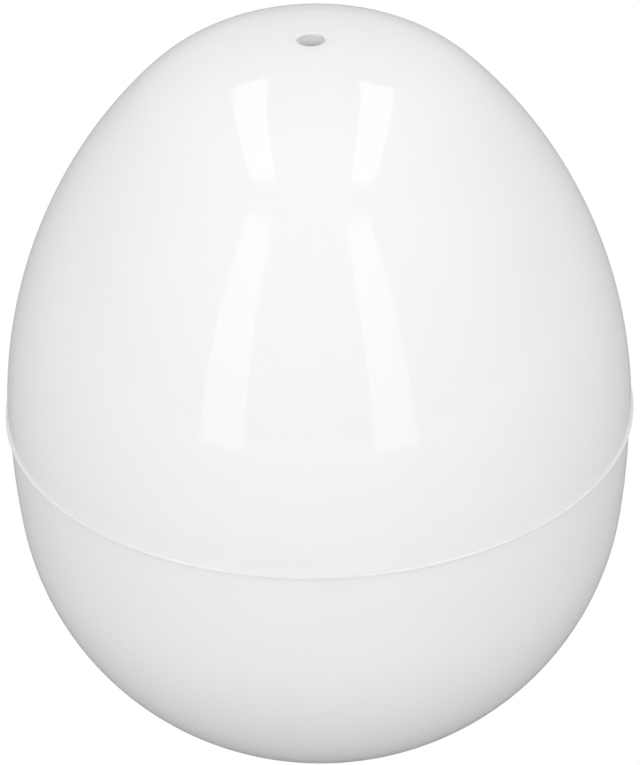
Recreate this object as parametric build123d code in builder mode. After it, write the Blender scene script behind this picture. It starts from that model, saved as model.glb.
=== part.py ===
"""Egg-shaped microwave egg boiler: a plastic bowl and a plastic lid, each with a spun aluminium
liner that keeps microwaves off the eggs, and a lift-out tray with four egg seats.

Frame: +Z up along the egg's axis, origin at the centre of the foot's flat face. Millimetres.
Every shell is a body of revolution: its meridian is drawn in a half plane and turned about Z.
The pieces are placed closed, with the lid turned to the unlocked position.
"""

import os
from math import asin, atan2, cos, degrees, radians, sin, sqrt

from build123d import *

# ---------------------------------------------------------------- driving dimensions
SEAM_Z = 72.8            # height of the joint line between bowl and lid
SEAM_GAP = 0.15          # the lid's edge stands this far above the bowl's deck
LIP_R = 70.0             # widest radius, at the thin lip round the lid's edge

LID_R = 69.4             # lid's outer radius at its edge
LID_WALL = 1.8
LID_FLANK_R = 113.5      # radii and turns of the lid's meridian arcs, from its edge to the crown
LID_FLANK_TURN = 43.0
LID_SHOULDER_R = 40.7
LID_SHOULDER_TURN = 29.0
LID_CROWN_TURN = 90.0 - LID_FLANK_TURN - LID_SHOULDER_TURN

BOWL_R = 69.0            # bowl's outer radius at the seam
BOWL_WALL = 2.2
BOWL_SIDE_R = 188.0      # radii and turn of the bowl's meridian arcs, from the seam to the foot
BOWL_SIDE_TURN = 7.4
BOWL_BELLY_R = 65.9
BOWL_EDGE_FILLET = 0.5

LINER_T = 0.6            # aluminium sheet of both liners
LID_AIR_GAP = 4.0        # between lid shell and lid liner
BOWL_AIR_GAP = 4.6       # between bowl shell and bowl liner, above the tray seat
SLIP = 0.05              # play left between pieces that lie against one another
JOIN = 0.5               # how far a rib, lug or deck runs into the wall it grows from
CUT_PAST = 1.0           # how far a cut runs on past the surface it opens

# Foot
FOOT_FILLET = 2.5
FOOT_FLOOR_T = 2.8
FOOT_RING_R = 30.0       # the ring that the egg stands on runs from here to the foot's edge
FOOT_RECESS = 1.2
GATE_R = 2.0             # moulding gate mark under the foot
GATE_H = 0.4
FOOT_RIB_COUNT = 4
FOOT_RIB_L = 12.0
FOOT_RIB_T = 1.6
FOOT_RIB_DROP = 1.0      # the ribs start this far below the socket's rim

# Bowl rim: deck, upstand and bayonet lugs
DECK_T = 2.2
UPSTAND_OUT_R = 66.1
UPSTAND_IN_R = 64.5
UPSTAND_H = 6.0
UPSTAND_CHAMFER = 0.4
LUG_COUNT = 3
LUG_ARC = 14.0
LUG_T = 1.5
BOWL_LUG_R = 67.2
BOWL_LUG_Z = SEAM_Z + 4.2
LID_LUG_R = 66.4
LID_LUG_Z = SEAM_Z + 2.4
LOCK_TURN = 24.0         # the lid turns clockwise by this to lock
STOP_ARC = 1.6
STOP_PLAY = 0.5
BOWL_RING_T = 2.0        # trim ring over the bowl liner's flange

# Lid edge and the seat of its liner
LIP_T = 0.4
LIP_ROOT_T = 0.8
LIP_FILLET = 0.15
LEDGE_Z = SEAM_Z + 9.0
LEDGE_T = 1.8
LEDGE_IN_R = 65.1
LID_RING_Z = SEAM_Z + 6.6
LID_RING_IN_R = 62.3
LINER_SEAT_PLAY = 0.15
LINER_FLANGE_R = 66.9

# Vent at the crown, and the plugs that hold both liners
VENT_R = 3.05
VENT_LIP_T = 1.1         # wall left above the vent socket
VENT_FILLET = 0.3
BOSS_R = 6.2
SOCKET_R = 4.25
BARREL_R = 4.2
BUSH_BORE_R = 2.95
LINER_HOLE_R = 4.5
PLUG_HEAD_R = 7.5
PLUG_HEAD_T = 1.4
PLUG_HEAD_FILLET = 0.6
PLUG_TIP_GAP = 0.4
WASHER_R = 6.8
WASHER_T = 0.9
CROWN_SAG = 0.4          # room for the liner's curve over the washer's width

# Bowl liner and egg tray
TRAY_Z = 48.0            # the tray's underside, on the liner's seat
TRAY_R = 59.5
TRAY_T = 0.9
TRAY_RIM_H = 5.0
TRAY_CURL_R = 0.9
TRAY_CORNER_R = 1.6
SEAT_IN_R = 56.5
LINER_FLOOR_Z = 8.0
LINER_CORNER_R = 6.0
EGG_COUNT = 4
EGG_RING_R = 32.5
EGG_HOLE_R = 17.4
EGG_COLLAR_H = 3.2
EGG_COLLAR_FLARE = 1.4
STEAM_HOLE_R = 2.2
STEAM_RING_R = 50.0
STEAM_PER_SIDE = 3
STEAM_PITCH = 8.0        # degrees between neighbours of one group

# Knob
KNOB_BASE_R = 8.5
KNOB_STEM_R = 4.6
KNOB_HEAD_R = 9.0
KNOB_H = 26.0
KNOB_BASE_T = 2.0
KNOB_WAIST_AT = 0.4      # heights of the waist and of the widest part, as shares of the knob's
KNOB_HEAD_AT = 0.7
KNOB_EDGE_FILLET = 0.6
SCREW_R = 1.5
SCREW_HOLE_R = 1.6
SCREW_UP = 12.0          # reach of the screw above the tray
SCREW_HEAD_R = 3.6
SCREW_HEAD_T = 2.2
SCREW_HEAD_FILLET = 0.8
SCREW_TIP_ROOM = 1.0
SCREW_TIP_CHAMFER = 0.4
SCREW_SLOT_W = 0.8
SCREW_SLOT_D = 1.0
KNOB_WASHER_R = 5.5
KNOB_WASHER_T = 0.8

# ---------------------------------------------------------------- derived dimensions
LID_Z = SEAM_Z + SEAM_GAP
_FLANK_END = radians(LID_FLANK_TURN)
_SHOULDER_END = radians(LID_FLANK_TURN + LID_SHOULDER_TURN)
_CROWN_X = (
    LID_R
    - LID_FLANK_R * (1 - cos(_FLANK_END))
    - LID_SHOULDER_R * (cos(_FLANK_END) - cos(_SHOULDER_END))
)
LID_CROWN_R = _CROWN_X / cos(_SHOULDER_END)      # so that the crown arc ends on the axis
TOP_Z = (
    LID_Z
    + LID_FLANK_R * sin(_FLANK_END)
    + LID_SHOULDER_R * (sin(_SHOULDER_END) - sin(_FLANK_END))
    + LID_CROWN_R * (1 - sin(_SHOULDER_END))
)
_SIDE_END = radians(BOWL_SIDE_TURN)
BELLY_X = BOWL_R - BOWL_SIDE_R * (1 - cos(_SIDE_END)) - BOWL_BELLY_R * cos(_SIDE_END)
BELLY_Z = SEAM_Z - (BOWL_SIDE_R - BOWL_BELLY_R) * sin(_SIDE_END)

LID_LINER_INSET = LID_WALL + LID_AIR_GAP
LID_FLANGE_TOP = LEDGE_Z - LINER_SEAT_PLAY
LID_FLANGE_UNDER = LID_FLANGE_TOP - LINER_T
BOSS_UNDER_Z = TOP_Z - LID_LINER_INSET + 2 * SLIP
VENT_WASHER_TOP = TOP_Z - LID_LINER_INSET - LINER_T - CROWN_SAG
BOWL_LINER_INSET = BOWL_WALL + BOWL_AIR_GAP
BOWL_FLANGE_TOP = SEAM_Z + LINER_T

os.makedirs("parts", exist_ok=True)


# ---------------------------------------------------------------- helpers
def meridian(angle=0.0):
    """The half plane at this angle round Z, with local x outwards and local y up."""
    a = radians(angle)
    return Plane(origin=(0, 0, 0), x_dir=(cos(a), sin(a), 0), z_dir=(sin(a), -cos(a), 0))


def ring_section(inner_r, outer_r, low, high):
    """Rectangle of a ring's meridian, for the open sketch."""
    with Locations((inner_r, low)):
        Rectangle(outer_r - inner_r, high - low, align=(Align.MIN, Align.MIN))


def lid_arcs(inset, start_angle=0.0):
    """The lid's meridian moved inwards by inset, from start_angle on the flank to the crown."""
    radius = LID_FLANK_R - inset
    a = radians(start_angle)
    start = (LID_R - LID_FLANK_R + radius * cos(a), LID_Z + radius * sin(a))
    flank = JernArc(start, (-sin(a), cos(a)), radius, LID_FLANK_TURN - start_angle)
    shoulder = JernArc(flank @ 1, flank % 1, LID_SHOULDER_R - inset, LID_SHOULDER_TURN)
    crown = JernArc(shoulder @ 1, shoulder % 1, LID_CROWN_R - inset, LID_CROWN_TURN)
    return flank @ 0, crown @ 1


def lid_angle_at(height, inset):
    """Angle on the inset flank arc at which it reaches this height."""
    return degrees(asin((height - LID_Z) / (LID_FLANK_R - inset)))


def lid_radius_at(height, inset):
    """Radius of the inset lid meridian at a height on its flank arc."""
    return LID_R - LID_FLANK_R + sqrt((LID_FLANK_R - inset) ** 2 - (height - LID_Z) ** 2)


def bowl_arcs(inset, floor_z):
    """The bowl's meridian moved inwards by inset, from the seam down to floor_z."""
    side = JernArc((BOWL_R - inset, SEAM_Z), (0, -1), BOWL_SIDE_R - inset, -BOWL_SIDE_TURN)
    belly_r = BOWL_BELLY_R - inset
    turn = degrees(asin((BELLY_Z - floor_z) / belly_r)) - BOWL_SIDE_TURN
    belly = JernArc(side @ 1, side % 1, belly_r, -turn)
    return side @ 0, belly @ 1


def bowl_radius_at(height, inset):
    """Radius of the inset bowl meridian at a height on its side arc."""
    return BOWL_R - BOWL_SIDE_R + sqrt((BOWL_SIDE_R - inset) ** 2 - (SEAM_Z - height) ** 2)


def bowl_side_arc(inset, high, low):
    """Piece of the inset side arc between two heights."""
    heights = (high, (high + low) / 2, low)
    return ThreePointArc(*[(bowl_radius_at(z, inset), z) for z in heights])


def belly_point(radius, height):
    """Point of a belly arc of this radius at this height."""
    return (BELLY_X + sqrt(radius**2 - (BELLY_Z - height) ** 2), height)


def belly_arc(radius, high, low):
    """Piece of a belly arc of this radius between two heights."""
    top, bottom = belly_point(radius, high), belly_point(radius, low)
    middle = sum(atan2(p[1] - BELLY_Z, p[0] - BELLY_X) for p in (top, bottom)) / 2
    mid_point = (BELLY_X + radius * cos(middle), BELLY_Z + radius * sin(middle))
    return ThreePointArc(top, mid_point, bottom)


def circles_at(builder, height):
    """Circular edges of a part at a height, by growing radius."""
    circles = builder.edges().filter_by(GeomType.CIRCLE)
    level = circles.filter_by_position(Axis.Z, height - SLIP, height + SLIP)
    return level.sort_by(SortBy.RADIUS)


def save(builder, name):
    builder.part.label = name
    export_step(builder.part, f"parts/{name}.step")


# ---------------------------------------------------------------- bowl
def make_base_shell():
    """Plastic bowl with its foot, deck, upstand, bayonet lugs and the socket for the plug."""
    with BuildPart() as base_shell:
        with BuildSketch(meridian()):
            with BuildLine():
                outer_top, outer_foot = bowl_arcs(0, 0)
                inner_top, inner_floor = bowl_arcs(BOWL_WALL, FOOT_FLOOR_T)
                Polyline(outer_foot, (0, 0), (0, FOOT_FLOOR_T), inner_floor)
                Line(inner_top, outer_top)
            make_face()
        revolve(axis=Axis.Z)
        fillet(circles_at(base_shell, 0)[-1], FOOT_FILLET)
        fillet(circles_at(base_shell, SEAM_Z)[-1], BOWL_EDGE_FILLET)

        with BuildSketch(meridian()):
            deck_in_r = BOWL_R - BOWL_LINER_INSET + 2 * SLIP
            ring_section(deck_in_r, BOWL_R - BOWL_WALL + JOIN, SEAM_Z - DECK_T, SEAM_Z)
            ring_section(UPSTAND_IN_R, UPSTAND_OUT_R, SEAM_Z - JOIN, SEAM_Z + UPSTAND_H)
        revolve(axis=Axis.Z)
        chamfer(circles_at(base_shell, SEAM_Z + UPSTAND_H), UPSTAND_CHAMFER)

        for i in range(LUG_COUNT):
            first = i * 360 / LUG_COUNT - LUG_ARC / 2
            lug_top = BOWL_LUG_Z + LUG_T
            with BuildSketch(meridian(first)):
                ring_section(UPSTAND_OUT_R - JOIN, BOWL_LUG_R, BOWL_LUG_Z, lug_top)
            revolve(axis=Axis.Z, revolution_arc=LUG_ARC)
            with BuildSketch(meridian(first - STOP_PLAY - STOP_ARC)):
                ring_section(UPSTAND_OUT_R - JOIN, BOWL_LUG_R, LID_LUG_Z, lug_top)
            revolve(axis=Axis.Z, revolution_arc=STOP_ARC + STOP_PLAY / 2)

        with BuildSketch(Plane.XY):
            Circle(FOOT_RING_R)
        extrude(amount=FOOT_RECESS, mode=Mode.SUBTRACT)
        with BuildSketch(Plane.XY.offset(FOOT_RECESS - GATE_H)):
            Circle(GATE_R)
        extrude(amount=GATE_H + JOIN)

        with BuildSketch(Plane.XY.offset(FOOT_FLOOR_T - JOIN)):
            Circle(BOSS_R)
            Circle(SOCKET_R, mode=Mode.SUBTRACT)
        extrude(amount=LINER_FLOOR_Z - FOOT_FLOOR_T + JOIN)
        for i in range(FOOT_RIB_COUNT):
            with BuildSketch(meridian(45 + i * 360 / FOOT_RIB_COUNT)):
                with BuildLine():
                    Polyline(
                        (BOSS_R - JOIN, FOOT_FLOOR_T - JOIN),
                        (BOSS_R + FOOT_RIB_L, FOOT_FLOOR_T - JOIN),
                        (BOSS_R - JOIN, LINER_FLOOR_Z - FOOT_RIB_DROP),
                        close=True,
                    )
                make_face()
            extrude(amount=FOOT_RIB_T / 2, both=True)
    save(base_shell, "base_shell")


def make_base_liner():
    """Spun aluminium bowl: flange, straight upper wall, tray seat, lower bowl and flat floor."""
    lower_inner_r = BOWL_BELLY_R - (bowl_radius_at(TRAY_Z, 0) - SEAT_IN_R)
    lower_outer_r = lower_inner_r + LINER_T
    inner_inset = BOWL_LINER_INSET + LINER_T
    flange_r = UPSTAND_IN_R - 2 * SLIP
    seat_under = TRAY_Z - LINER_T
    floor_top = LINER_FLOOR_Z + LINER_T
    with BuildPart() as base_liner:
        with BuildSketch(meridian()):
            with BuildLine():
                wall_outer = bowl_side_arc(BOWL_LINER_INSET, SEAM_Z, seat_under)
                wall_inner = bowl_side_arc(inner_inset, BOWL_FLANGE_TOP, TRAY_Z)
                bowl_outer = belly_arc(lower_outer_r, seat_under, LINER_FLOOR_Z)
                bowl_inner = belly_arc(lower_inner_r, TRAY_Z, floor_top)
                Polyline(
                    wall_inner @ 0,
                    (flange_r, BOWL_FLANGE_TOP),
                    (flange_r, SEAM_Z),
                    wall_outer @ 0,
                )
                Line(wall_outer @ 1, bowl_outer @ 0)
                Polyline(bowl_outer @ 1, (0, LINER_FLOOR_Z), (0, floor_top), bowl_inner @ 1)
                Line(bowl_inner @ 0, wall_inner @ 1)
            make_face()
        revolve(axis=Axis.Z)
        fillet(circles_at(base_liner, LINER_FLOOR_Z)[-1], LINER_CORNER_R)
        fillet(circles_at(base_liner, floor_top)[-1], LINER_CORNER_R - LINER_T)
        with BuildSketch(Plane.XY.offset(LINER_FLOOR_Z)):
            Circle(LINER_HOLE_R)
        extrude(amount=LINER_T, mode=Mode.SUBTRACT)
    save(base_liner, "base_liner")


def make_base_rim_ring():
    """Plastic trim ring, snapped inside the upstand over the liner's flange."""
    low = BOWL_FLANGE_TOP + SLIP
    inner_r = BOWL_R - BOWL_LINER_INSET - LINER_T
    with BuildPart() as base_rim_ring:
        with BuildSketch(meridian()):
            ring_section(inner_r, UPSTAND_IN_R - SLIP, low, low + BOWL_RING_T)
        revolve(axis=Axis.Z)
        fillet(circles_at(base_rim_ring, low + BOWL_RING_T)[0], BOWL_RING_T / 2)
    save(base_rim_ring, "base_rim_ring")


def make_base_liner_plug():
    """Plug through the liner's floor into the foot's socket."""
    tip_z = FOOT_FLOOR_T + PLUG_TIP_GAP
    head_z = LINER_FLOOR_Z + LINER_T + WASHER_T
    with BuildPart() as base_liner_plug:
        with BuildSketch(Plane.XY.offset(tip_z)):
            Circle(BARREL_R)
        extrude(amount=head_z - tip_z + JOIN)
        with BuildSketch(Plane.XY.offset(head_z)):
            Circle(PLUG_HEAD_R)
        extrude(amount=PLUG_HEAD_T)
        fillet(circles_at(base_liner_plug, head_z + PLUG_HEAD_T)[-1], PLUG_HEAD_FILLET)
        chamfer(circles_at(base_liner_plug, tip_z)[0], PLUG_TIP_GAP)
    save(base_liner_plug, "base_liner_plug")


def make_washer(name, low, inner_r, outer_r, thickness):
    with BuildPart() as washer:
        with BuildSketch(Plane.XY.offset(low)):
            Circle(outer_r)
            Circle(inner_r, mode=Mode.SUBTRACT)
        extrude(amount=thickness)
    save(washer, name)


# ---------------------------------------------------------------- lid
def make_lid_shell():
    """Plastic dome with its lip, bayonet lugs, liner ledge, and the socket round the vent."""
    with BuildPart() as lid_shell:
        with BuildSketch(meridian()):
            with BuildLine():
                outer_edge, outer_crown = lid_arcs(0)
                inner_edge, inner_crown = lid_arcs(LID_WALL)
                Line(outer_crown, inner_crown)
                Line(inner_edge, outer_edge)
            make_face()
        revolve(axis=Axis.Z)

        with BuildSketch(meridian()):
            with BuildLine():
                Polyline(
                    (LID_R - JOIN, LID_Z),
                    (LIP_R, LID_Z),
                    (LIP_R, LID_Z + LIP_T),
                    (LID_R - 2 * SLIP, LID_Z + LIP_ROOT_T),
                    (LID_R - JOIN, LID_Z + LIP_ROOT_T),
                    close=True,
                )
            make_face()
            ring_section(LEDGE_IN_R, LID_R - LID_WALL + JOIN, LEDGE_Z, LEDGE_Z + LEDGE_T)
        revolve(axis=Axis.Z)
        fillet(circles_at(lid_shell, LID_Z)[-1], LIP_FILLET)
        fillet(circles_at(lid_shell, LID_Z + LIP_T)[-1], LIP_FILLET)

        for i in range(LUG_COUNT):
            first = i * 360 / LUG_COUNT - LUG_ARC / 2 + LOCK_TURN
            with BuildSketch(meridian(first)):
                ring_section(LID_LUG_R, LID_R - LID_WALL + JOIN, LID_LUG_Z, LID_LUG_Z + LUG_T)
            revolve(axis=Axis.Z, revolution_arc=LUG_ARC)

        with BuildSketch(Plane.XY.offset(BOSS_UNDER_Z)):
            Circle(BOSS_R)
        extrude(amount=TOP_Z - LID_WALL + JOIN - BOSS_UNDER_Z)
        with BuildSketch(Plane.XY.offset(BOSS_UNDER_Z)):
            Circle(SOCKET_R)
        extrude(amount=TOP_Z - VENT_LIP_T - BOSS_UNDER_Z, mode=Mode.SUBTRACT)
        with BuildSketch(Plane.XY.offset(BOSS_UNDER_Z)):
            Circle(VENT_R)
        extrude(amount=TOP_Z - BOSS_UNDER_Z + CUT_PAST, mode=Mode.SUBTRACT)
        vent_edge = lid_shell.edges().filter_by(GeomType.CIRCLE).sort_by(Axis.Z)[-1]
        fillet(vent_edge, VENT_FILLET)
    save(lid_shell, "lid_shell")


def make_lid_liner():
    """Spun aluminium dome with a flange that lies under the shell's ledge."""
    inner_inset = LID_LINER_INSET + LINER_T
    with BuildPart() as lid_liner:
        with BuildSketch(meridian()):
            with BuildLine():
                outer_start = lid_angle_at(LID_FLANGE_TOP, LID_LINER_INSET)
                inner_start = lid_angle_at(LID_FLANGE_UNDER, inner_inset)
                outer_edge, outer_crown = lid_arcs(LID_LINER_INSET, outer_start)
                inner_edge, inner_crown = lid_arcs(inner_inset, inner_start)
                Line(outer_crown, inner_crown)
                Polyline(
                    inner_edge,
                    (LINER_FLANGE_R, LID_FLANGE_UNDER),
                    (LINER_FLANGE_R, LID_FLANGE_TOP),
                    outer_edge,
                )
            make_face()
        revolve(axis=Axis.Z)
        with BuildSketch(Plane.XY.offset(VENT_WASHER_TOP)):
            Circle(LINER_HOLE_R)
        extrude(amount=TOP_Z - VENT_WASHER_TOP, mode=Mode.SUBTRACT)
    save(lid_liner, "lid_liner")


def make_lid_rim_ring():
    """Plastic ring, snapped inside the lid under the liner's flange."""
    high = LID_FLANGE_UNDER - LINER_SEAT_PLAY
    with BuildPart() as lid_rim_ring:
        with BuildSketch(meridian()):
            with BuildLine():
                Polyline(
                    (LID_RING_IN_R, LID_RING_Z),
                    (lid_radius_at(LID_RING_Z, LID_WALL) - SLIP, LID_RING_Z),
                    (lid_radius_at(high, LID_WALL) - SLIP, high),
                    (LID_RING_IN_R, high),
                    close=True,
                )
            make_face()
        revolve(axis=Axis.Z)
        fillet(circles_at(lid_rim_ring, LID_RING_Z)[0], (high - LID_RING_Z) / 2)
    save(lid_rim_ring, "lid_rim_ring")


def make_vent_bush():
    """Hollow plug: its barrel lines the vent and its head holds the liner's crown."""
    head_top = VENT_WASHER_TOP - WASHER_T
    head_under = head_top - PLUG_HEAD_T
    barrel_top = TOP_Z - VENT_LIP_T - SLIP
    with BuildPart() as vent_bush:
        with BuildSketch(Plane.XY.offset(head_under)):
            Circle(PLUG_HEAD_R)
        extrude(amount=PLUG_HEAD_T)
        with BuildSketch(Plane.XY.offset(head_top - JOIN)):
            Circle(BARREL_R)
        extrude(amount=barrel_top - head_top + JOIN)
        fillet(circles_at(vent_bush, head_under)[-1], PLUG_HEAD_FILLET)
        with BuildSketch(Plane.XY.offset(head_under)):
            Circle(BUSH_BORE_R)
        extrude(amount=barrel_top - head_under, mode=Mode.SUBTRACT)
    save(vent_bush, "vent_bush")


# ---------------------------------------------------------------- tray
def make_egg_tray():
    """Pressed aluminium tray: curled rim, four flared egg seats and steam holes between them."""
    plate_top = TRAY_Z + TRAY_T
    rim_out_r = TRAY_R - TRAY_CURL_R
    collar_r = EGG_HOLE_R + TRAY_T
    with BuildPart() as egg_tray:
        with BuildSketch(meridian()):
            ring_section(0, rim_out_r, TRAY_Z, plate_top)
            ring_section(rim_out_r - TRAY_T, rim_out_r, TRAY_Z, TRAY_Z + TRAY_RIM_H)
            with Locations((rim_out_r, TRAY_Z + TRAY_RIM_H)):
                Circle(TRAY_CURL_R)
        revolve(axis=Axis.Z)
        fillet(circles_at(egg_tray, TRAY_Z)[-1], TRAY_CORNER_R)

        with BuildSketch(Plane.XY.offset(plate_top)):
            with PolarLocations(EGG_RING_R, EGG_COUNT, start_angle=45):
                Circle(collar_r)
        extrude(amount=EGG_COLLAR_H)
        collar_foot = [e for e in circles_at(egg_tray, plate_top) if abs(e.radius - collar_r) < SLIP]
        fillet(collar_foot, EGG_COLLAR_FLARE)
        with BuildSketch(Plane.XY.offset(TRAY_Z)):
            with PolarLocations(EGG_RING_R, EGG_COUNT, start_angle=45):
                Circle(EGG_HOLE_R)
            for side in range(EGG_COUNT):
                first = side * 360 / EGG_COUNT - (STEAM_PER_SIDE - 1) / 2 * STEAM_PITCH
                for k in range(STEAM_PER_SIDE):
                    turn = radians(first + k * STEAM_PITCH)
                    with Locations((STEAM_RING_R * cos(turn), STEAM_RING_R * sin(turn))):
                        Circle(STEAM_HOLE_R)
            Circle(SCREW_HOLE_R)
        extrude(amount=TRAY_RIM_H + EGG_COLLAR_H, mode=Mode.SUBTRACT)
    save(egg_tray, "egg_tray")


def make_tray_knob():
    """Plastic knob with a waisted stem and a domed head."""
    base_z = TRAY_Z + TRAY_T
    top_z = base_z + KNOB_H
    head_z = base_z + KNOB_HEAD_AT * KNOB_H
    waist_z = base_z + KNOB_WAIST_AT * KNOB_H
    with BuildPart() as tray_knob:
        with BuildSketch(meridian()):
            with BuildLine():
                foot_edge = (KNOB_BASE_R, base_z + KNOB_BASE_T)
                Polyline((0, top_z), (0, base_z), (KNOB_BASE_R, base_z), foot_edge)
                stem = Spline(
                    foot_edge,
                    (KNOB_STEM_R, waist_z),
                    (KNOB_HEAD_R, head_z),
                    tangents=[(-1, 0.5), (0, 1)],
                )
                Spline(stem @ 1, (0, top_z), tangents=[(0, 1), (-1, 0)])
            make_face()
        revolve(axis=Axis.Z)
        fillet(circles_at(tray_knob, base_z)[-1], KNOB_EDGE_FILLET)
        with BuildSketch(Plane.XY.offset(base_z)):
            Circle(SCREW_HOLE_R)
        extrude(amount=SCREW_UP + SCREW_TIP_ROOM, mode=Mode.SUBTRACT)
    save(tray_knob, "tray_knob")


def make_tray_knob_screw():
    """Steel screw from below, with a slotted pan head."""
    head_top = TRAY_Z - KNOB_WASHER_T
    head_under = head_top - SCREW_HEAD_T
    tip_z = TRAY_Z + TRAY_T + SCREW_UP
    with BuildPart() as tray_knob_screw:
        with BuildSketch(Plane.XY.offset(head_under)):
            Circle(SCREW_HEAD_R)
        extrude(amount=SCREW_HEAD_T)
        fillet(circles_at(tray_knob_screw, head_under)[-1], SCREW_HEAD_FILLET)
        with BuildSketch(Plane.XY.offset(head_top - JOIN)):
            Circle(SCREW_R)
        extrude(amount=tip_z - head_top + JOIN)
        chamfer(circles_at(tray_knob_screw, tip_z)[0], SCREW_TIP_CHAMFER)
        with BuildSketch(Plane.XY.offset(head_under)):
            Rectangle(2 * SCREW_HEAD_R, SCREW_SLOT_W)
        extrude(amount=SCREW_SLOT_D, mode=Mode.SUBTRACT)
    save(tray_knob_screw, "tray_knob_screw")


make_base_shell()
make_base_liner()
make_base_rim_ring()
make_base_liner_plug()
make_washer("base_liner_washer", LINER_FLOOR_Z + LINER_T, LINER_HOLE_R, WASHER_R, WASHER_T)
make_lid_shell()
make_lid_liner()
make_lid_rim_ring()
make_vent_bush()
make_washer("vent_washer", VENT_WASHER_TOP - WASHER_T, LINER_HOLE_R, WASHER_R, WASHER_T)
make_egg_tray()
make_tray_knob()
make_tray_knob_screw()
make_washer("tray_knob_washer", TRAY_Z - KNOB_WASHER_T, SCREW_HOLE_R, KNOB_WASHER_R, KNOB_WASHER_T)
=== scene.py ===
"""Looks of the microwave egg boiler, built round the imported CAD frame. Metres, +Z up.

The shells and liners are lathed again from the same meridians as the CAD, finer and with rounded
edges. The tray and the small pieces keep their CAD meshes and get materials.
"""

import math

import bmesh
import bpy
from mathutils import Matrix, Vector


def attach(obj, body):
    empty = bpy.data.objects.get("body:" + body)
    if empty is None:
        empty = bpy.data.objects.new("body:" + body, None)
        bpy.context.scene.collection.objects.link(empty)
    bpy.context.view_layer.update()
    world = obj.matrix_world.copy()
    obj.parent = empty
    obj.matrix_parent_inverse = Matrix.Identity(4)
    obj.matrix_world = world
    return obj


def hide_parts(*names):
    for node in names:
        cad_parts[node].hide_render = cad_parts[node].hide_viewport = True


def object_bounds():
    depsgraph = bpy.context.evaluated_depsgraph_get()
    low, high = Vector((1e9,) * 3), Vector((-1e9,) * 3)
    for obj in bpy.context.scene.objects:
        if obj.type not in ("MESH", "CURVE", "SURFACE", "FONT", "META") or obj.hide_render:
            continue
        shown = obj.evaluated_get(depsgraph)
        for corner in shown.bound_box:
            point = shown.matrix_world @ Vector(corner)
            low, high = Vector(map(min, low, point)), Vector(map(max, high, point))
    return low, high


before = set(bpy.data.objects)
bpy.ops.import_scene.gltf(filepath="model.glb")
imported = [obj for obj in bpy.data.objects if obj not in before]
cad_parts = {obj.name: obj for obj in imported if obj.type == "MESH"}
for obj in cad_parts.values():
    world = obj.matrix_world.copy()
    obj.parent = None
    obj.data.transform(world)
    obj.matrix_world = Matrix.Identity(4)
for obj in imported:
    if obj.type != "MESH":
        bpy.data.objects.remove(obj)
cad_low, cad_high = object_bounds()

MM = 0.001

# ---------------------------------------------------------------- meridian sizes, mm
SEAM = 72.8
LID_Z = SEAM + 0.15
LIP_R = 69.9             # the lid's lip, a hair inside the CAD's
LIP_TOP = LID_Z + 0.4
LIP_UNDER = SEAM + 0.07  # leaves a gap too fine to read as a dark line
LID_R = 69.4
LID_WALL = 1.8
FLANK_R, FLANK_TURN = 113.5, math.radians(43)
SHOULDER_R, SHOULDER_TURN = 40.7, math.radians(29)
BOWL_R = 69.0
BOWL_WALL = 2.2
SIDE_R, SIDE_TURN = 188.0, math.radians(7.4)
BELLY_R = 65.9
SHEET = 0.6
LID_GAP, BOWL_GAP = 4.0, 4.6
FLOOR_T, RECESS = 2.8, 1.2
LINER_FLOOR = 8.0
TRAY_Z = 48.0
SEAT_IN_R = 56.5
UP_IN, UP_OUT, UP_H = 64.5, 66.1, 6.0
DECK_T, DECK_IN_R = 2.2, 62.3
LEDGE = SEAM + 9.0
LEDGE_T, LEDGE_IN_R = 1.8, 65.1
VENT_R, VENT_LIP_T = 3.05, 1.1
SOCKET_R = 4.25          # takes the barrel of a plug
BOSS_R = 6.2
LINER_HOLE_R = 4.5
FOOT_IN_R, FOOT_OUT_R = 30.0, 35.03
GATE_R, GATE_DEPTH = 2.0, 0.4
LUGS = 3
LUG_SPAN = 14.0          # degrees
LUG_T = 1.5
LUG_UNLOCKED = 24.0      # degrees from the bowl's lugs to the lid's
LID_LUG_IN, LID_LUG_OUT, LID_LUG_Z = 66.4, 68.1, SEAM + 2.4
BOWL_LUG_IN, BOWL_LUG_OUT, BOWL_LUG_Z = 65.6, 67.2, SEAM + 4.2
STOP_SPAN = 1.85         # degrees
STOP_AT = -9.1           # degrees from the middle of its lug
TURNS = 288              # segments round the axis
LUG_TURNS, STOP_TURNS = 16, 4

_a1 = FLANK_TURN
_a2 = FLANK_TURN + SHOULDER_TURN
_crown_x = LID_R - FLANK_R * (1 - math.cos(_a1)) - SHOULDER_R * (math.cos(_a1) - math.cos(_a2))
CROWN_R = _crown_x / math.cos(_a2)
SHOULDER_X = LID_R - FLANK_R + (FLANK_R - SHOULDER_R) * math.cos(_a1)
SHOULDER_Z = LID_Z + (FLANK_R - SHOULDER_R) * math.sin(_a1)
CROWN_Z = SHOULDER_Z + (SHOULDER_R - CROWN_R) * math.sin(_a2)
TOP = CROWN_Z + CROWN_R
BELLY_X = BOWL_R - SIDE_R * (1 - math.cos(SIDE_TURN)) - BELLY_R * math.cos(SIDE_TURN)
BELLY_Z = SEAM - (SIDE_R - BELLY_R) * math.sin(SIDE_TURN)


# ---------------------------------------------------------------- meridians
def arc(cx, cz, radius, start, end, steps):
    """Points of a meridian arc, as (r, z, corner radius)."""
    out = []
    for i in range(steps + 1):
        a = start + (end - start) * i / steps
        out.append((cx + radius * math.cos(a), cz + radius * math.sin(a), 0.0))
    return out


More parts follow.
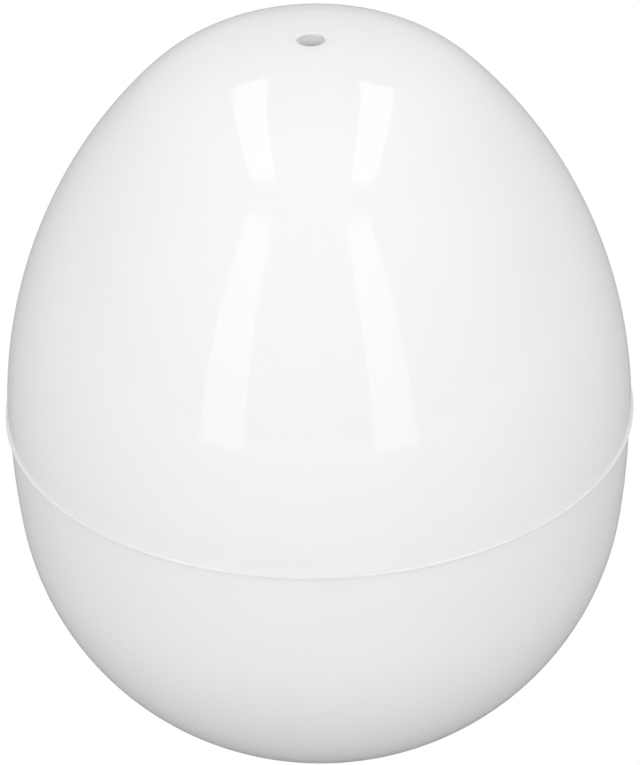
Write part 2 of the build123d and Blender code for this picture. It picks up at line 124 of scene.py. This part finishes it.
def lid_curve(inset, low_z, crown_r):
    """The lid's meridian moved inwards, from low_z on the flank up to radius crown_r."""
    start = math.asin((low_z - LID_Z) / (FLANK_R - inset))
    end = math.acos(crown_r / (CROWN_R - inset))
    pts = arc(LID_R - FLANK_R, LID_Z, FLANK_R - inset, start, _a1, 44)
    pts += arc(SHOULDER_X, SHOULDER_Z, SHOULDER_R - inset, _a1, _a2, 22)[1:]
    pts += arc(0, CROWN_Z, CROWN_R - inset, _a2, end, 14)[1:]
    return pts


def bowl_curve(inset, high_z, low_z):
    """The bowl's meridian moved inwards, from high_z on the side arc down to low_z."""
    start = -math.asin((SEAM - high_z) / (SIDE_R - inset))
    end = -math.asin((BELLY_Z - low_z) / (BELLY_R - inset))
    pts = arc(BOWL_R - SIDE_R, SEAM, SIDE_R - inset, start, -SIDE_TURN, 20)
    pts += arc(BELLY_X, BELLY_Z, BELLY_R - inset, -SIDE_TURN, end, 44)[1:]
    return pts


def lid_r(z, inset):
    """Radius of the lid's flank at height z, moved inwards."""
    return LID_R - FLANK_R + math.sqrt((FLANK_R - inset) ** 2 - (z - LID_Z) ** 2)


def bowl_r(z, inset):
    """Radius of the bowl's side at height z, moved inwards."""
    return BOWL_R - SIDE_R + math.sqrt((SIDE_R - inset) ** 2 - (SEAM - z) ** 2)


def rounded(points, steps=5):
    """The open or closed meridian with its corners rounded by their own radii."""
    out = []
    for i, (x, z, r) in enumerate(points):
        if r <= 0 or i in (0, len(points) - 1):
            out.append((x, z))
            continue
        here = Vector((x, z))
        before = Vector(points[i - 1][:2]) - here
        after = Vector(points[i + 1][:2]) - here
        half = before.angle(after) / 2
        reach = min(r / math.tan(half), before.length * 0.49, after.length * 0.49)
        radius = reach * math.tan(half)
        first = here + before.normalized() * reach
        last = here + after.normalized() * reach
        centre = here + (before.normalized() + after.normalized()).normalized() * (
            radius / math.sin(half)
        )
        a, b = first - centre, last - centre
        sweep = a.angle_signed(b)
        for k in range(steps + 1):
            turned = a.copy()
            turned.rotate(Matrix.Rotation(-sweep * k / steps, 2))
            out.append(tuple(centre + turned))
    return out


def lathe_into(bm, profile, closed, first=0.0, sweep=2 * math.pi, turns=TURNS):
    """Adds the profile (r, z in mm) turned about Z to the mesh; a partial turn gets end caps."""
    whole = sweep > 2 * math.pi - 1e-6
    count = turns if whole else turns + 1
    rings = []
    for x, z in profile:
        if x < 1e-6:
            rings.append([bm.verts.new((0, 0, z * MM))])
            continue
        ring = []
        for k in range(count):
            a = first + sweep * k / turns
            ring.append(bm.verts.new((x * math.cos(a) * MM, x * math.sin(a) * MM, z * MM)))
        rings.append(ring)
    pairs = list(zip(rings, rings[1:]))
    if closed:
        pairs.append((rings[-1], rings[0]))
    for low, high in pairs:
        for k in range(turns):
            n = (k + 1) % count
            if len(low) == 1 and len(high) == 1:
                continue
            if len(low) == 1:
                bm.faces.new((low[0], high[n], high[k]))
            elif len(high) == 1:
                bm.faces.new((low[k], low[n], high[0]))
            else:
                bm.faces.new((low[k], low[n], high[n], high[k]))
    if not whole:
        bm.faces.new([ring[0] for ring in rings])
        bm.faces.new([ring[-1] for ring in reversed(rings)])


def finish_mesh(bm, name, material, body, *nodes, slot=None):
    """Makes the object, smooths it by angle, and puts it on its body in place of its nodes."""
    bmesh.ops.recalc_face_normals(bm, faces=bm.faces)
    mesh = bpy.data.meshes.new(name)
    bm.to_mesh(mesh)
    bm.free()
    obj = bpy.data.objects.new(name, mesh)
    bpy.context.scene.collection.objects.link(obj)
    mesh.materials.append(material)
    smooth(obj, 35)
    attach(obj, body)
    if nodes:
        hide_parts(*nodes)
    return obj


def smooth(obj, degrees):
    for poly in obj.data.polygons:
        poly.use_smooth = True
    obj.data.set_sharp_from_angle(angle=math.radians(degrees))


# ---------------------------------------------------------------- materials
def new_material(name):
    mat = bpy.data.materials.new(name)
    mat.use_nodes = True
    tree = mat.node_tree
    shader = tree.nodes["Principled BSDF"]
    return mat, tree, shader


def node(tree, kind, inputs=None, **props):
    made = tree.nodes.new(kind)
    for key, value in props.items():
        setattr(made, key, value)
    for key, value in (inputs or {}).items():
        made.inputs[key].default_value = value
    return made


def ramp(tree, source, stops):
    """Colour ramp from grey stops (position, value)."""
    made = tree.nodes.new("ShaderNodeValToRGB")
    made.color_ramp.elements.remove(made.color_ramp.elements[0])
    for i, (pos, value) in enumerate(stops):
        stop = made.color_ramp.elements[0] if i == 0 else made.color_ramp.elements.new(pos)
        stop.position = pos
        grey = value if isinstance(value, tuple) else (value, value, value)
        stop.color = (*grey, 1)
    tree.links.new(source, made.inputs["Fac"])
    return made


def mapped(tree, scale):
    """Object coordinates stretched by scale."""
    coord = tree.nodes.new("ShaderNodeTexCoord")
    mapping = node(tree, "ShaderNodeMapping", {"Scale": scale})
    tree.links.new(coord.outputs["Object"], mapping.inputs["Vector"])
    return mapping.outputs["Vector"]


def plastic(name, colour, bright, dark, rough, subsurface, depth=0.0025, painted_shade_bands=()):
    """Glossy moulded plastic: faint clouding, uneven gloss, a trace of orange peel.

    depth is how far light spreads inside, in metres.
    The bands are (height in mm, half width in mm, strength) of painted shade: the colour is
    darkened where parts lie behind the wall.
    """
    mat, tree, shader = new_material(name)
    links = tree.links
    shader.inputs["IOR"].default_value = 1.49
    shader.inputs["Subsurface Weight"].default_value = subsurface
    shader.inputs["Subsurface Radius"].default_value = (1.0, 0.96, 0.92)
    shader.inputs["Subsurface Scale"].default_value = depth

    cloud = node(tree, "ShaderNodeTexNoise", {"Scale": 1.0, "Detail": 3.0, "Roughness": 0.5})
    links.new(mapped(tree, (22, 22, 30)), cloud.inputs["Vector"])
    tone = ramp(tree, cloud.outputs["Fac"], [(0.3, dark), (0.7, bright)])
    base = node(tree, "ShaderNodeMix", data_type="RGBA", blend_type="MULTIPLY")
    base.inputs["Factor"].default_value = 1.0
    base.inputs["A"].default_value = (*colour, 1)
    links.new(tone.outputs["Color"], base.inputs["B"])
    out = base.outputs["Result"]
    # Painted shade: darker bands in the colour where parts lie behind the wall.
    if painted_shade_bands:
        out = painted_show_through_shade(tree, out, painted_shade_bands)
    links.new(out, shader.inputs["Base Color"])

    gloss = node(tree, "ShaderNodeTexNoise", {"Scale": 1.0, "Detail": 4.0, "Roughness": 0.6})
    links.new(mapped(tree, (60, 60, 60)), gloss.inputs["Vector"])
    rough_ramp = ramp(tree, gloss.outputs["Fac"], [(0.25, rough * 0.85), (0.75, rough * 1.15)])
    links.new(rough_ramp.outputs["Color"], shader.inputs["Roughness"])

    peel = node(tree, "ShaderNodeTexNoise", {"Scale": 1.0, "Detail": 2.0, "Roughness": 0.5})
    links.new(mapped(tree, (260, 260, 260)), peel.inputs["Vector"])
    bump = node(tree, "ShaderNodeBump", {"Strength": 0.004, "Distance": 0.0004})
    links.new(peel.outputs["Fac"], bump.inputs["Height"])
    links.new(bump.outputs["Normal"], shader.inputs["Normal"])
    return mat


def painted_show_through_shade(tree, colour, painted_shade_bands):
    """Painted shade: darkens the colour a little at heights where something lies behind the wall,
    in place of its shadow through the plastic.
    """
    links = tree.links
    coord = tree.nodes.new("ShaderNodeTexCoord")
    parts = tree.nodes.new("ShaderNodeSeparateXYZ")
    links.new(coord.outputs["Object"], parts.inputs["Vector"])
    total = None
    for height, half, strength in painted_shade_bands:
        off = node(tree, "ShaderNodeMath", operation="SUBTRACT")
        links.new(parts.outputs["Z"], off.inputs[0])
        off.inputs[1].default_value = height * MM
        size = node(tree, "ShaderNodeMath", operation="ABSOLUTE")
        links.new(off.outputs["Value"], size.inputs[0])
        near = node(tree, "ShaderNodeMapRange", interpolation_type="SMOOTHERSTEP")
        near.inputs["From Min"].default_value = 0.0
        near.inputs["From Max"].default_value = half * MM
        near.inputs["To Min"].default_value = strength
        near.inputs["To Max"].default_value = 0.0
        links.new(size.outputs["Value"], near.inputs["Value"])
        if total is None:
            total = near.outputs["Result"]
        else:
            both = node(tree, "ShaderNodeMath", operation="ADD")
            links.new(total, both.inputs[0])
            links.new(near.outputs["Result"], both.inputs[1])
            total = both.outputs["Value"]
    keep = node(tree, "ShaderNodeMath", operation="SUBTRACT")
    keep.inputs[0].default_value = 1.0
    links.new(total, keep.inputs[1])
    grey = tree.nodes.new("ShaderNodeCombineColor")
    for channel in ("Red", "Green", "Blue"):
        links.new(keep.outputs["Value"], grey.inputs[channel])
    mixed = node(tree, "ShaderNodeMix", data_type="RGBA", blend_type="MULTIPLY")
    mixed.inputs["Factor"].default_value = 1.0
    links.new(colour, mixed.inputs["A"])
    links.new(grey.outputs["Color"], mixed.inputs["B"])
    return mixed.outputs["Result"]


def spun_metal(name, colour, rough):
    """Spun aluminium: fine rings round the axis in colour, gloss and relief."""
    mat, tree, shader = new_material(name)
    links = tree.links
    shader.inputs["Metallic"].default_value = 0.8
    shader.inputs["Anisotropic"].default_value = 0.55

    coord = tree.nodes.new("ShaderNodeTexCoord")
    parts = tree.nodes.new("ShaderNodeSeparateXYZ")
    links.new(coord.outputs["Object"], parts.inputs["Vector"])
    flat = tree.nodes.new("ShaderNodeCombineXYZ")
    links.new(parts.outputs["X"], flat.inputs["X"])
    links.new(parts.outputs["Y"], flat.inputs["Y"])
    radius = node(tree, "ShaderNodeVectorMath", operation="LENGTH")
    links.new(flat.outputs["Vector"], radius.inputs[0])
    ring = tree.nodes.new("ShaderNodeCombineXYZ")
    links.new(radius.outputs["Value"], ring.inputs["X"])
    links.new(parts.outputs["Z"], ring.inputs["Y"])
    fine = node(tree, "ShaderNodeTexNoise", {"Scale": 1400.0, "Detail": 3.0, "Roughness": 0.65})
    links.new(ring.outputs["Vector"], fine.inputs["Vector"])
    broad = node(tree, "ShaderNodeTexNoise", {"Scale": 140.0, "Detail": 2.0, "Roughness": 0.5})
    links.new(ring.outputs["Vector"], broad.inputs["Vector"])

    low = tuple(c * 0.86 for c in colour)
    tone = ramp(tree, broad.outputs["Fac"], [(0.3, low), (0.7, colour)])
    links.new(tone.outputs["Color"], shader.inputs["Base Color"])
    gloss = ramp(tree, fine.outputs["Fac"], [(0.25, rough * 0.8), (0.75, rough * 1.3)])
    links.new(gloss.outputs["Color"], shader.inputs["Roughness"])
    bump = node(tree, "ShaderNodeBump", {"Strength": 0.12, "Distance": 0.0002})
    links.new(fine.outputs["Fac"], bump.inputs["Height"])
    links.new(bump.outputs["Normal"], shader.inputs["Normal"])
    tangent = node(tree, "ShaderNodeTangent", direction_type="RADIAL", axis="Z")
    links.new(tangent.outputs["Tangent"], shader.inputs["Tangent"])
    return mat


def rubber(name, colour, rough):
    """Matt silicone with a fine powdery grain."""
    mat, tree, shader = new_material(name)
    links = tree.links
    shader.inputs["IOR"].default_value = 1.41
    grain = node(tree, "ShaderNodeTexNoise", {"Scale": 1.0, "Detail": 5.0, "Roughness": 0.6})
    links.new(mapped(tree, (900, 900, 900)), grain.inputs["Vector"])
    low = tuple(c * 0.9 for c in colour)
    tone = ramp(tree, grain.outputs["Fac"], [(0.3, low), (0.7, colour)])
    links.new(tone.outputs["Color"], shader.inputs["Base Color"])
    gloss = ramp(tree, grain.outputs["Fac"], [(0.3, rough * 0.85), (0.7, rough)])
    links.new(gloss.outputs["Color"], shader.inputs["Roughness"])
    bump = node(tree, "ShaderNodeBump", {"Strength": 0.15, "Distance": 0.0002})
    links.new(grain.outputs["Fac"], bump.inputs["Height"])
    links.new(bump.outputs["Normal"], shader.inputs["Normal"])
    return mat


WHITE = (0.92, 0.92, 0.92)
bowl_plastic = plastic("bowl_plastic", WHITE, 1.0, 0.985, 0.03, 0.25)
# The lid's colour gets painted shade 6 and 9 mm above the seam, where the upstand top and the
# ledge lie behind the wall.
lid_plastic = plastic(
    "lid_plastic", (0.945, 0.945, 0.945), 1.0, 0.985, 0.02, 0.45, 0.0025,
    painted_shade_bands=[(SEAM + 6.0, 1.6, 0.007), (SEAM + 9.0, 1.6, 0.005)],
)
trim_plastic = plastic("trim_plastic", (0.86, 0.86, 0.86), 1.0, 0.975, 0.24, 0.15)
# The vent bush's white is lifted above the other trim so its shaded bore reads light: painted
# light in place of light that comes through the lid.
bush_plastic = plastic("bush_plastic", (0.98, 0.98, 0.98), 1.0, 0.985, 0.2, 0.0)
knob_plastic = plastic("knob_plastic", (0.88, 0.88, 0.88), 1.0, 0.98, 0.2, 0.15)
liner_metal = spun_metal("liner_metal", (0.84, 0.85, 0.86), 0.24)
tray_metal = spun_metal("tray_metal", (0.82, 0.83, 0.84), 0.32)
screw_metal = spun_metal("screw_metal", (0.6, 0.6, 0.61), 0.3)
silicone = rubber("silicone", (0.8, 0.8, 0.78), 0.6)


# ---------------------------------------------------------------- lid
def with_corner(point, radius):
    """The same meridian point with a corner radius of its own."""
    return (point[0], point[1], radius)


def block(in_r, out_r, low, high):
    """Square section of a lug or a stop."""
    return [(in_r, low), (out_r, low), (out_r, high), (in_r, high)]


def make_lid_shell():
    bm = bmesh.new()
    boss_under = TOP - LID_WALL - LID_GAP + 0.1
    outside = lid_curve(0, LID_Z + 0.6, VENT_R)
    outside[0] = with_corner(outside[0], 0.3)
    outside[-1] = with_corner(outside[-1], 0.5)
    pts = [(VENT_R, TOP - 0.6, 0)]
    pts += reversed(outside)
    pts += [(LIP_R, LIP_TOP, 0.1), (LIP_R, LIP_UNDER, 0.35), (LID_R - LID_WALL, LIP_UNDER, 0.4)]
    pts += [(lid_r(z, LID_WALL), z, 0.0) for z in (LID_Z + 0.6, LID_Z + 3, LID_Z + 6)]
    pts += [
        (lid_r(LEDGE, LID_WALL), LEDGE, 0.3),
        (LEDGE_IN_R, LEDGE, 0.3),
        (LEDGE_IN_R, LEDGE + LEDGE_T, 0.3),
        (lid_r(LEDGE + LEDGE_T, LID_WALL), LEDGE + LEDGE_T, 0.5),
    ]
    pts += lid_curve(LID_WALL, LEDGE + LEDGE_T + 0.8, BOSS_R)
    pts += [(BOSS_R, boss_under, 0.4), (SOCKET_R, boss_under, 0.3)]
    pts += [(SOCKET_R, TOP - VENT_LIP_T, 0), (VENT_R, TOP - VENT_LIP_T, 0)]
    lathe_into(bm, rounded(pts), closed=True)
    lug = block(LID_LUG_IN, LID_LUG_OUT, LID_LUG_Z, LID_LUG_Z + LUG_T)
    for i in range(LUGS):
        first = math.radians(360 / LUGS * i - LUG_SPAN / 2 + LUG_UNLOCKED)
        lathe_into(bm, lug, True, first, math.radians(LUG_SPAN), LUG_TURNS)
    return finish_mesh(bm, "lid_dome", lid_plastic, "lid", "lid_shell", slot="lid_plastic")


def make_lid_liner():
    bm = bmesh.new()
    inset = LID_WALL + LID_GAP
    flange = 66.9
    top = LEDGE - 0.15
    under = top - SHEET
    pts = list(reversed(lid_curve(inset + SHEET, under + 2, LINER_HOLE_R)))
    pts += [
        (lid_r(under, inset + SHEET), under, 1.3),
        (flange, under, 0.25),
        (flange, top, 0.25),
        (lid_r(top, inset), top, 0.8),
    ]
    pts += lid_curve(inset, top + 2, LINER_HOLE_R)
    lathe_into(bm, rounded(pts), closed=True)
    return finish_mesh(
        bm, "lid_lining_bowl", liner_metal, "lid_lining", "lid_liner", slot="spun_aluminium"
    )


# ---------------------------------------------------------------- bowl
def make_base_shell():
    bm = bmesh.new()
    deck_under = SEAM - DECK_T
    gate_z = RECESS - GATE_DEPTH
    pts = [(0, gate_z, 0), (GATE_R, gate_z, 0.1), (GATE_R, RECESS, 0.1)]
    pts += [(FOOT_IN_R, RECESS, 0.3), (FOOT_IN_R, 0, 0.4), (FOOT_OUT_R, 0, 2.5)]
    outside = [p for p in reversed(bowl_curve(0, SEAM, 0)) if p[1] > 1.0]
    outside[-1] = (BOWL_R, SEAM, 0.2)
    pts += outside
    pts += [(UP_OUT, SEAM, 0.4), (UP_OUT, SEAM + UP_H, 0.5), (UP_IN, SEAM + UP_H, 0.5)]
    pts += [(UP_IN, SEAM, 0.3), (DECK_IN_R, SEAM, 0.3), (DECK_IN_R, deck_under, 0.3)]
    pts += [(BOWL_R - BOWL_WALL, deck_under, 0.8)]
    inside = bowl_curve(BOWL_WALL, deck_under - 1.5, FLOOR_T)
    inside[-1] = with_corner(inside[-1], 1.5)
    pts += inside
    pts += [(BOSS_R, FLOOR_T, 0.6), (BOSS_R, LINER_FLOOR, 0.3)]
    pts += [(SOCKET_R, LINER_FLOOR, 0.3), (SOCKET_R, FLOOR_T, 0.2), (0, FLOOR_T, 0)]
    lathe_into(bm, rounded(pts), closed=False)
    lug = block(BOWL_LUG_IN, BOWL_LUG_OUT, BOWL_LUG_Z, BOWL_LUG_Z + LUG_T)
    stop = block(BOWL_LUG_IN, BOWL_LUG_OUT, LID_LUG_Z, BOWL_LUG_Z + LUG_T)
    for i in range(LUGS):
        middle = 360 / LUGS * i
        first = math.radians(middle - LUG_SPAN / 2)
        lathe_into(bm, lug, True, first, math.radians(LUG_SPAN), LUG_TURNS)
        first = math.radians(middle + STOP_AT)
        lathe_into(bm, stop, True, first, math.radians(STOP_SPAN), STOP_TURNS)
    return finish_mesh(bm, "bowl_body", bowl_plastic, "base", "base_shell", slot="white_plastic")


def make_base_liner():
    bm = bmesh.new()
    up_inset = BOWL_WALL + BOWL_GAP
    low_inner = BELLY_R - (bowl_r(TRAY_Z, 0) - SEAT_IN_R)
    low_outer = low_inner + SHEET
    seat_under = TRAY_Z - SHEET
    floor_top = LINER_FLOOR + SHEET
    flange = UP_IN - 0.1

    def wall(inset, high, low, steps=12):
        out = []
        for k in range(steps + 1):
            z = high + (low - high) * k / steps
            out.append((bowl_r(z, inset), z, 0.0))
        return out

    def belly(radius, high, low, steps=30):
        start = -math.asin((BELLY_Z - high) / radius)
        end = -math.asin((BELLY_Z - low) / radius)
        return arc(BELLY_X, BELLY_Z, radius, start, end, steps)

    inner_wall = wall(up_inset + SHEET, SEAM + SHEET, TRAY_Z)
    inner_wall[0] = with_corner(inner_wall[0], 0.8)
    inner_wall[-1] = with_corner(inner_wall[-1], 0.7)
    inner_bowl = belly(low_inner, TRAY_Z, floor_top)
    inner_bowl[0] = with_corner(inner_bowl[0], 1.0)
    inner_bowl[-1] = with_corner(inner_bowl[-1], 5.4)
    outer_bowl = belly(low_outer, seat_under, LINER_FLOOR)
    outer_bowl[0] = with_corner(outer_bowl[0], 0.5)
    outer_bowl[-1] = with_corner(outer_bowl[-1], 6.0)
    outer_wall = wall(up_inset, SEAM, seat_under)
    outer_wall[0] = with_corner(outer_wall[0], 0.3)
    outer_wall[-1] = with_corner(outer_wall[-1], 1.2)
    pts = [(LINER_HOLE_R, floor_top, 0)]
    pts += list(reversed(inner_bowl)) + list(reversed(inner_wall))
    pts += [(flange, SEAM + SHEET, 0.2), (flange, SEAM, 0.2)]
    pts += outer_wall + outer_bowl
    pts += [(LINER_HOLE_R, LINER_FLOOR, 0)]
    lathe_into(bm, rounded(pts), closed=True)
    return finish_mesh(bm, "bowl_lining", liner_metal, "base", "base_liner", slot="spun_aluminium")


make_lid_shell()
make_lid_liner()
make_base_shell()
make_base_liner()

KEPT = {
    "base_rim_ring": trim_plastic,
    "base_liner_plug": trim_plastic,
    "base_liner_washer": silicone,
    "lid_rim_ring": trim_plastic,
    "vent_bush": bush_plastic,
    "vent_washer": silicone,
    "egg_tray": tray_metal,
    "tray_knob": knob_plastic,
    "tray_knob_screw": screw_metal,
    "tray_knob_washer": silicone,
}
for name, material in KEPT.items():
    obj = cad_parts[name]
    obj.data.materials.clear()
    obj.data.materials.append(material)
    smooth(obj, 30)


# ---------------------------------------------------------------- camera
def make_camera():
    distance, elevation, roll = 1.12, math.radians(31.8), math.radians(-1.32)
    aside, down = 0.00024, 0.00326
    middle = Vector((0, 0, (cad_low.z + cad_high.z) / 2))
    back = Vector((0, -math.cos(elevation), math.sin(elevation)))
    data = bpy.data.cameras.new("camera")
    data.lens = 237.55
    data.sensor_width = 36.0
    data.sensor_fit = "AUTO"
    data.clip_start, data.clip_end = 0.05, 60
    camera = bpy.data.objects.new("camera", data)
    bpy.context.scene.collection.objects.link(camera)
    camera.rotation_mode = "QUATERNION"
    turn = (-back).to_track_quat("-Z", "Y")
    right = turn @ Vector((1, 0, 0))
    up = turn @ Vector((0, 1, 0))
    shift = right * aside - up * down
    camera.location = middle + back * distance + shift
    roll_turn = Matrix.Rotation(roll, 3, back).to_quaternion()
    camera.rotation_quaternion = roll_turn @ turn
    bpy.context.scene.camera = camera


make_camera()


# ---------------------------------------------------------------- stage and light
def make_floor():
    bm = bmesh.new()
    bmesh.ops.create_circle(bm, cap_ends=True, radius=9.0, segments=96)
    mesh = bpy.data.meshes.new("floor")
    bm.to_mesh(mesh)
    bm.free()
    floor = bpy.data.objects.new("floor", mesh)
    bpy.context.scene.collection.objects.link(floor)
    floor.location.z = -0.0001
    mat = bpy.data.materials.new("floor")
    mat.use_nodes = True
    tree = mat.node_tree
    tree.nodes.clear()
    links = tree.links
    out = tree.nodes.new("ShaderNodeOutputMaterial")
    # A floor that also glows a little keeps the foot's underside from going black.
    matt = node(tree, "ShaderNodeBsdfDiffuse", {"Color": (0.35, 0.35, 0.35, 1)})
    glow = node(tree, "ShaderNodeEmission", {"Color": (1, 1, 1, 1), "Strength": 0.12})
    soft = tree.nodes.new("ShaderNodeAddShader")
    links.new(matt.outputs["BSDF"], soft.inputs[0])
    links.new(glow.outputs["Emission"], soft.inputs[1])
    lit = node(tree, "ShaderNodeEmission", {"Color": (1, 1, 1, 1), "Strength": 1.04})
    path = tree.nodes.new("ShaderNodeLightPath")
    share = node(tree, "ShaderNodeMath", {1: 0.95}, operation="MULTIPLY")
    links.new(path.outputs["Is Camera Ray"], share.inputs[0])
    mix = tree.nodes.new("ShaderNodeMixShader")
    links.new(share.outputs["Value"], mix.inputs["Fac"])
    links.new(soft.outputs["Shader"], mix.inputs[1])
    links.new(lit.outputs["Emission"], mix.inputs[2])
    clear = tree.nodes.new("ShaderNodeBsdfTransparent")
    side = tree.nodes.new("ShaderNodeNewGeometry")
    both = tree.nodes.new("ShaderNodeMixShader")
    links.new(side.outputs["Backfacing"], both.inputs["Fac"])
    links.new(mix.outputs["Shader"], both.inputs[1])
    links.new(clear.outputs["BSDF"], both.inputs[2])
    links.new(both.outputs["Shader"], out.inputs["Surface"])
    mesh.materials.append(mat)


def area_light(name, centre, aim, width, height, radiance, glossy=True, diffuse=True, twist=0.0):
    """Softbox of a given radiance, facing aim; twist turns it about its own axis, in degrees."""
    data = bpy.data.lights.new(name, "AREA")
    data.shape = "RECTANGLE"
    data.size, data.size_y = width, height
    data.energy = radiance * math.pi * width * height
    light = bpy.data.objects.new(name, data)
    bpy.context.scene.collection.objects.link(light)
    light.location = centre
    light.rotation_mode = "QUATERNION"
    look = (Vector(aim) - Vector(centre)).to_track_quat("-Z", "Y")
    light.rotation_quaternion = look @ Matrix.Rotation(math.radians(twist), 3, "Z").to_quaternion()
    light.visible_camera = False
    light.visible_glossy = glossy
    light.visible_diffuse = diffuse
    return light


def make_lights():
    world = bpy.data.worlds.new("world")
    bpy.context.scene.world = world
    world.use_nodes = True
    tree = world.node_tree
    tree.nodes.clear()
    out = tree.nodes.new("ShaderNodeOutputWorld")
    # What the gloss mirrors is dim in front and lighter behind; the soft fill is even all round.
    coord = tree.nodes.new("ShaderNodeTexCoord")
    split = tree.nodes.new("ShaderNodeSeparateXYZ")
    tree.links.new(coord.outputs["Generated"], split.inputs["Vector"])
    behind = node(tree, "ShaderNodeMapRange", interpolation_type="SMOOTHSTEP")
    for key, value in (("From Min", 0.0), ("From Max", 1.0), ("To Min", 0.12), ("To Max", 0.56)):
        behind.inputs[key].default_value = value
    tree.links.new(split.outputs["Y"], behind.inputs["Value"])
    mirrored = node(tree, "ShaderNodeBackground", {"Color": (1, 1, 1, 1)})
    tree.links.new(behind.outputs["Result"], mirrored.inputs["Strength"])
    fill = node(tree, "ShaderNodeBackground", {"Color": (1, 1, 1, 1), "Strength": 0.92})
    white = node(tree, "ShaderNodeBackground", {"Color": (1, 1, 1, 1), "Strength": 1.0})
    path = tree.nodes.new("ShaderNodeLightPath")
    gloss = tree.nodes.new("ShaderNodeMixShader")
    tree.links.new(path.outputs["Is Glossy Ray"], gloss.inputs["Fac"])
    tree.links.new(fill.outputs["Background"], gloss.inputs[1])
    tree.links.new(mirrored.outputs["Background"], gloss.inputs[2])
    mix = tree.nodes.new("ShaderNodeMixShader")
    tree.links.new(path.outputs["Is Camera Ray"], mix.inputs["Fac"])
    tree.links.new(gloss.outputs["Shader"], mix.inputs[1])
    tree.links.new(white.outputs["Background"], mix.inputs[2])
    tree.links.new(mix.outputs["Shader"], out.inputs["Surface"])

    centre = Vector((0, 0, 0.09))

    def towards(azimuth, elevation, distance):
        a, e = math.radians(azimuth), math.radians(elevation)
        return centre + distance * Vector(
            (math.sin(a) * math.cos(e), -math.cos(a) * math.cos(e), math.sin(e))
        )

    side = 1.9
    area_light("key", towards(-3, 12, 3.0), centre, side, side, 2.58, glossy=False)
    area_light("back_right", towards(130, 30, 3.0), centre, side, side, 0.27, glossy=False)

    # Two tall boxes in front and two long ones overhead give the paired streaks on the dome.
    away, middle, tall = 1.4, 0.79, 1.6
    for name, azimuth, width in (("front_left", -34.3, 0.39), ("front_right", 26.1, 0.37)):
        a = math.radians(azimuth)
        spot = Vector((away * math.sin(a), -away * math.cos(a), middle))
        area_light(name, spot, (0, 0, middle), width, tall, 1.2, diffuse=False)
    above, width, long = 1.5, 0.325, 1.84
    for name, x, y, turn in (("top_left", -0.54, 0.22, -5), ("top_right", 0.555, 0.11, 3.5)):
        spot = Vector((x, y, above))
        below = spot - Vector((0, 0, 1))
        area_light(name, spot, below, width, long, 1.35, diffuse=False, twist=turn)


make_floor()
make_lights()

scene = bpy.context.scene
scene.view_settings.view_transform = "Standard"
scene.view_settings.look = "None"
scene.view_settings.exposure = 0.0
scene.view_settings.gamma = 1.0
